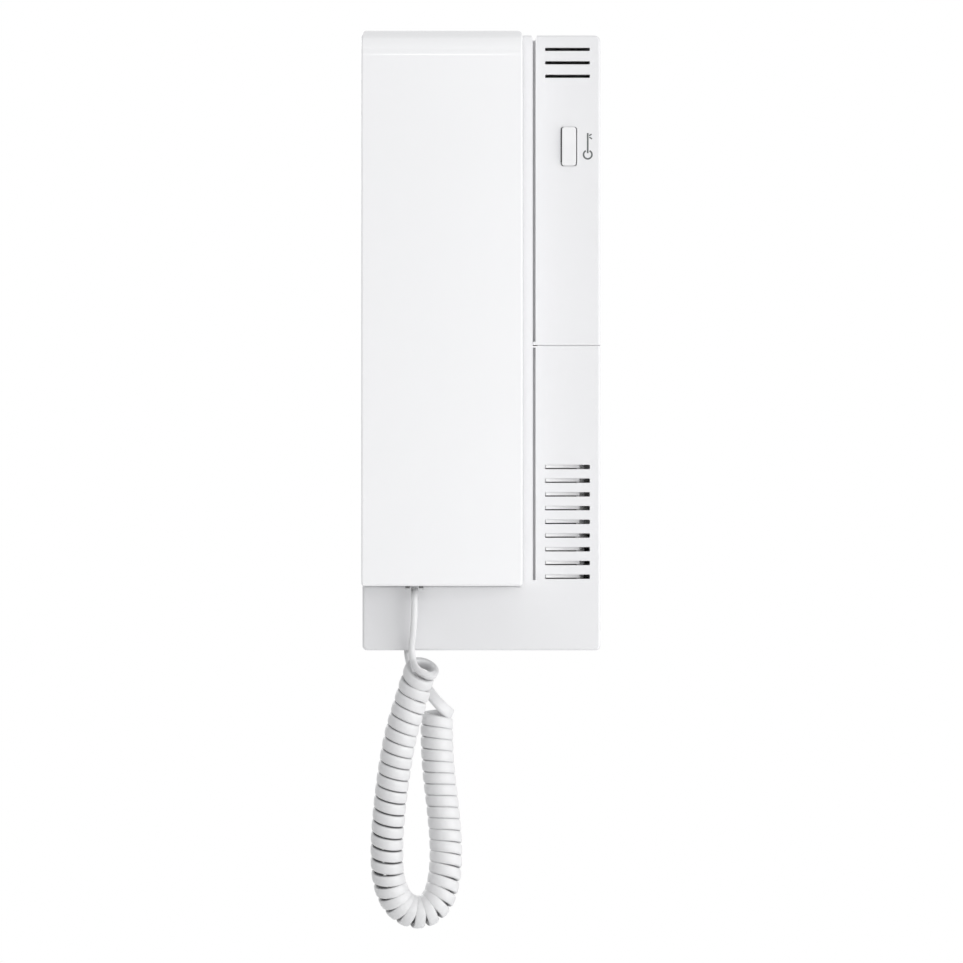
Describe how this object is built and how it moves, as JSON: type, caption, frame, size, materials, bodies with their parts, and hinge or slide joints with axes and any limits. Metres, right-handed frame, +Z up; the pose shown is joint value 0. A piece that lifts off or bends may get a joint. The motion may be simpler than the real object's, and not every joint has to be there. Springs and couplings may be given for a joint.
{
  "type": "audio intercom handset",
  "caption": "Wall-mounted door-entry telephone: a flat handset hung in a cradle beside a slotted column with a release button, joined to the wall unit by a curly cord.",
  "frame": {"origin": "on the wall, midway between the wall plate's two screw holes", "axes": "+X to the right as the user faces it, +Y into the wall, +Z up"},
  "size_m": [0.085, 0.06, 0.3196],
  "materials": {
    "shell": "satin moulded",
    "baffle": "matt moulded",
    "plate": "matt moulded",
    "button": "satin moulded",
    "cord": "satin",
    "clear": "clear moulded",
    "jack": "matt moulded",
    "board": "lacquered",
    "terminal": "moulded",
    "screw": "zinc plated",
    "switch": "moulded",
    "capacitor": "sleeved",
    "steel": "plain",
    "magnet": "plain",
    "cone": "pressed paper",
    "foam": "foam",
    "rubber": "moulded",
    "capsule": "moulded",
    "spring": "drawn wire"
  },
  "bodies": {
    "base": {"wall_plate": "plate", "front_housing": "shell", "upper_fascia": "shell", "sound_baffle": "baffle", "circuit_board": "board", "board_screws": "screw", "terminal_block": "terminal", "terminal_screws": "screw", "hook_switch": "switch", "door_switch": "switch", "capacitors": "capacitor", "speaker_frame": "steel", "speaker_magnet": "magnet", "speaker_cone": "cone", "base_jack": "jack", "cord_coil": "cord", "cord_base_lead": "cord", "cord_base_plug": "clear"},
    "handset": {"handset_front_shell": "shell", "handset_rear_shell": "shell", "earpiece_capsule": "capsule", "earpiece_gasket": "foam", "microphone_capsule": "steel", "microphone_boot": "rubber", "handset_jack": "jack", "handset_ballast": "steel", "handset_screws": "screw", "cord_handset_plug": "clear", "cord_handset_lead": "cord"},
    "hook": {"hook_plunger": "button", "hook_spring": "spring"},
    "button": {"door_button": "button", "button_spring": "spring"}
  },
  "joints": [
    {"name": "handset_lift", "type": "slide", "parent": "base", "child": "handset", "axis": [0, -0.8192, 0.5736], "range_m": [0, 0.05], "deforming": ["cord_coil"]},
    {"name": "hook_plunger", "type": "slide", "parent": "base", "child": "hook", "axis": [0, -1, 0], "range_m": [0, 0.0035], "stiffness_N_per_m": 80, "springref_m": 0.006, "deforming": ["hook_spring"]},
    {"name": "door_button", "type": "slide", "parent": "base", "child": "button", "axis": [0, 1, 0], "range_m": [0, 0.0012], "stiffness_N_per_m": 700, "springref_m": -0.0005, "deforming": ["button_spring"]}
  ],
  "couplings": [
    {"joint": "hook_plunger", "follows": "handset_lift", "ratio": 0.07}
  ]
}
